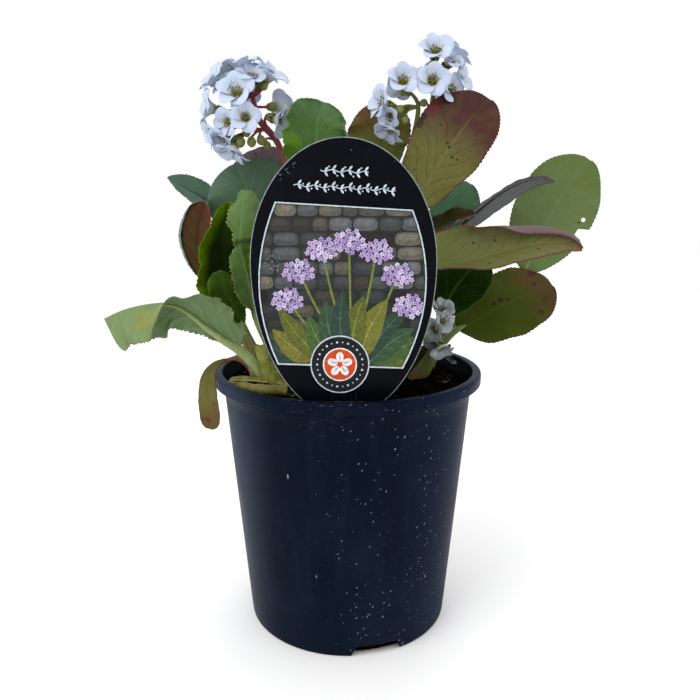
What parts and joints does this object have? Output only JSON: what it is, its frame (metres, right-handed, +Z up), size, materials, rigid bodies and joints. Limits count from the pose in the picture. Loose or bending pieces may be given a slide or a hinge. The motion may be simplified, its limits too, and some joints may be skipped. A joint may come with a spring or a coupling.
{
  "type": "potted bergenia",
  "caption": "Flowering bergenia with broad toothed leaves and heads of white bell flowers, in a round dark nursery pot of soil with an oval plant label.",
  "frame": {"origin": "middle of the pot's flat base, on the surface the pot stands on", "axes": "+Z up along the pot's axis, the label's printed side faces -Y, +X to the right seen from the label's side"},
  "size_m": [0.2929, 0.1868, 0.3578],
  "materials": {
    "pot": "dark blue-black moulded plastic, semi-matt, with dust specks and fine scratches",
    "soil": "moist dark potting mix of bark, peat and fibres",
    "label": "printed semi-gloss card plastic",
    "leaf_green": "leathery leaf, semi-gloss, with pale veins",
    "leaf_pale": "young pale green leaf, satin, with paler veins",
    "leaf_bronze": "winter leaf turning bronze and maroon, with dark red veins and brown spots",
    "scape_red": "red fleshy flower stalk with fine hairs",
    "scape_green": "green fleshy flower stalk, flushed pink",
    "petal": "thin white petal, soft, with faint veins",
    "rhizome": "old pale stalk, fibrous, browned at the cut"
  },
  "bodies": {
    "root": {"pot": "pot", "soil": "soil", "label": "label", "leaf_reaching_left": "leaf_pale", "leaf_left_point": "leaf_green", "leaf_left_round": "leaf_green", "leaf_left_purple": "leaf_bronze", "leaf_left_red": "leaf_bronze", "leaf_left_cupped": "leaf_pale", "leaf_left_young": "leaf_green", "leaf_left_curl": "leaf_pale", "leaf_left_dry": "leaf_bronze", "leaf_top_green": "leaf_green", "leaf_back_brown": "leaf_bronze", "leaf_right_top": "leaf_bronze", "leaf_right_blue": "leaf_green", "leaf_right_small": "leaf_bronze", "leaf_right_purple": "leaf_bronze", "leaf_right_far": "leaf_green", "leaf_right_long": "leaf_bronze", "leaf_right_dark": "leaf_green", "leaf_right_low": "leaf_bronze", "leaf_back_left": "leaf_green", "leaf_back_right": "leaf_green", "leaf_back_low": "leaf_green", "leaf_middle_left": "leaf_green", "leaf_middle_right": "leaf_green", "scape_left": "scape_red", "bloom_left_1": "petal", "bloom_left_2": "petal", "bloom_left_3": "petal", "bloom_left_4": "petal", "bloom_left_5": "petal", "bloom_left_6": "petal", "bloom_left_7": "petal", "bloom_left_8": "petal", "bloom_left_9": "petal", "bloom_left_10": "petal", "bloom_left_11": "petal", "scape_middle": "scape_green", "bloom_middle_1": "petal", "bloom_middle_2": "petal", "bloom_middle_3": "petal", "bloom_middle_4": "petal", "scape_right": "scape_green", "bloom_right_1": "petal", "bloom_right_2": "petal", "bloom_right_3": "petal", "bloom_right_4": "petal", "bloom_right_5": "petal", "bloom_right_6": "petal", "scape_low": "scape_green", "bloom_low_1": "petal", "bloom_low_2": "petal", "bloom_low_3": "petal", "stalk_old": "rhizome", "stub_cut": "rhizome", "sheath_pale": "rhizome"}
  },
  "joints": []
}
